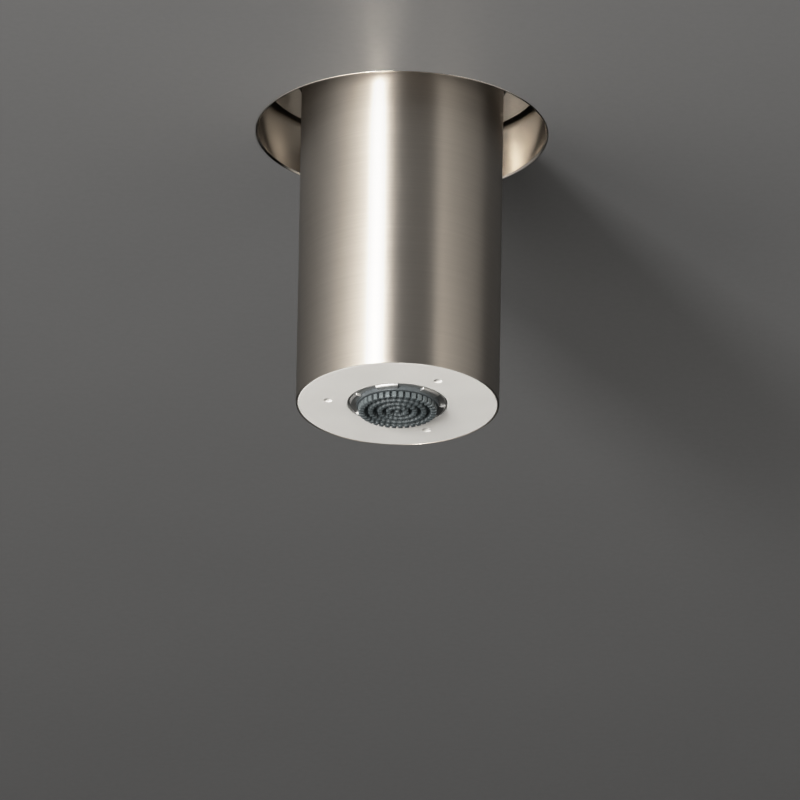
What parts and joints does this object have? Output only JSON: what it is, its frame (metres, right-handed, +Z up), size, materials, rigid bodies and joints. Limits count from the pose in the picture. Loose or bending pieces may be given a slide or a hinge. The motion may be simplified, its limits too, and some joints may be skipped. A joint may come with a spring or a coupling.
{
  "type": "recessed ceiling shower head",
  "caption": "Ceiling shower head: a brushed steel tube hanging from a round steel recess, with a white face and a tilting ribbed jet, on a ball joint under a built-in housing.",
  "frame": {"origin": "on the shower axis in the ceiling plane, at the lower edge of the recess sleeve", "axes": "+Z up along the shower axis into the ceiling, -Z the way the water falls, -Y towards the viewer"},
  "size_m": [0.124, 0.124, 0.1789],
  "materials": {
    "brushed_steel": "satin, brushed round the axis",
    "polished_steel": "fine satin, nearly polished",
    "drawn_steel": "plain drawn sheet",
    "zinc_plate": "bright zinc plating",
    "screw_steel": "plated",
    "brass": "turned",
    "chrome": "plated and polished",
    "white_plastic": "matt white",
    "seat_plastic": "low-friction plastic",
    "jet_plastic": "dark blue-grey",
    "jet_rubber": "soft, dark blue-grey",
    "black_rubber": "seal",
    "fibre": "red fibre washer"
  },
  "bodies": {
    "ceiling_box": {"recess_sleeve": "polished_steel", "housing_wall": "drawn_steel", "recess_roof": "drawn_steel", "housing_flange": "drawn_steel", "sleeve_oring": "black_rubber", "ceiling_plate": "zinc_plate", "flange_screws": "screw_steel", "inlet_connector": "brass", "inlet_washer": "fibre", "inlet_locknut": "brass", "swivel_ball": "chrome", "ball_neck": "chrome", "inlet_spigot": "brass", "spigot_oring": "black_rubber"},
    "lower_seat": {"lower_ball_seat": "seat_plastic"},
    "upper_seat": {"upper_ball_seat": "seat_plastic"},
    "head": {"head_tube": "brushed_steel", "tube_carrier": "brass", "carrier_nut": "brass", "ball_socket": "brass", "socket_stem": "brass", "ball_nut": "chrome", "water_pipe": "brass", "pipe_orings": "black_rubber", "holder_hub": "brass", "holder_flange": "brass", "holder_cup": "brass", "white_face": "white_plastic", "jet_gasket": "black_rubber", "jet_ring": "chrome"},
    "jet_swivel_seal": {"jet_seal": "black_rubber"},
    "jet": {"jet_cup": "jet_plastic", "jet_insert": "jet_rubber", "insert_collar": "jet_plastic", "flow_regulator": "seat_plastic", "jet_screen": "screw_steel"}
  },
  "joints": [
    {"name": "head_lean_x", "type": "hinge", "parent": "ceiling_box", "child": "lower_seat", "pos_m": [0, 0, 0.0175], "axis": [1, 0, 0], "range_deg": [-10, 10]},
    {"name": "head_lean_y", "type": "hinge", "parent": "lower_seat", "child": "upper_seat", "pos_m": [0, 0, 0.0175], "axis": [0, 1, 0], "range_deg": [-10, 10]},
    {"name": "head_turn", "type": "hinge", "parent": "upper_seat", "child": "head", "pos_m": [0, 0, 0.0175], "axis": [0, 0, 1], "continuous": true},
    {"name": "jet_tilt_x", "type": "hinge", "parent": "head", "child": "jet_swivel_seal", "pos_m": [0, 0, -0.086], "axis": [1, 0, 0], "range_deg": [-6, 6]},
    {"name": "jet_tilt_y", "type": "hinge", "parent": "jet_swivel_seal", "child": "jet", "pos_m": [0, 0, -0.086], "axis": [0, 1, 0], "range_deg": [-6, 6]}
  ]
}
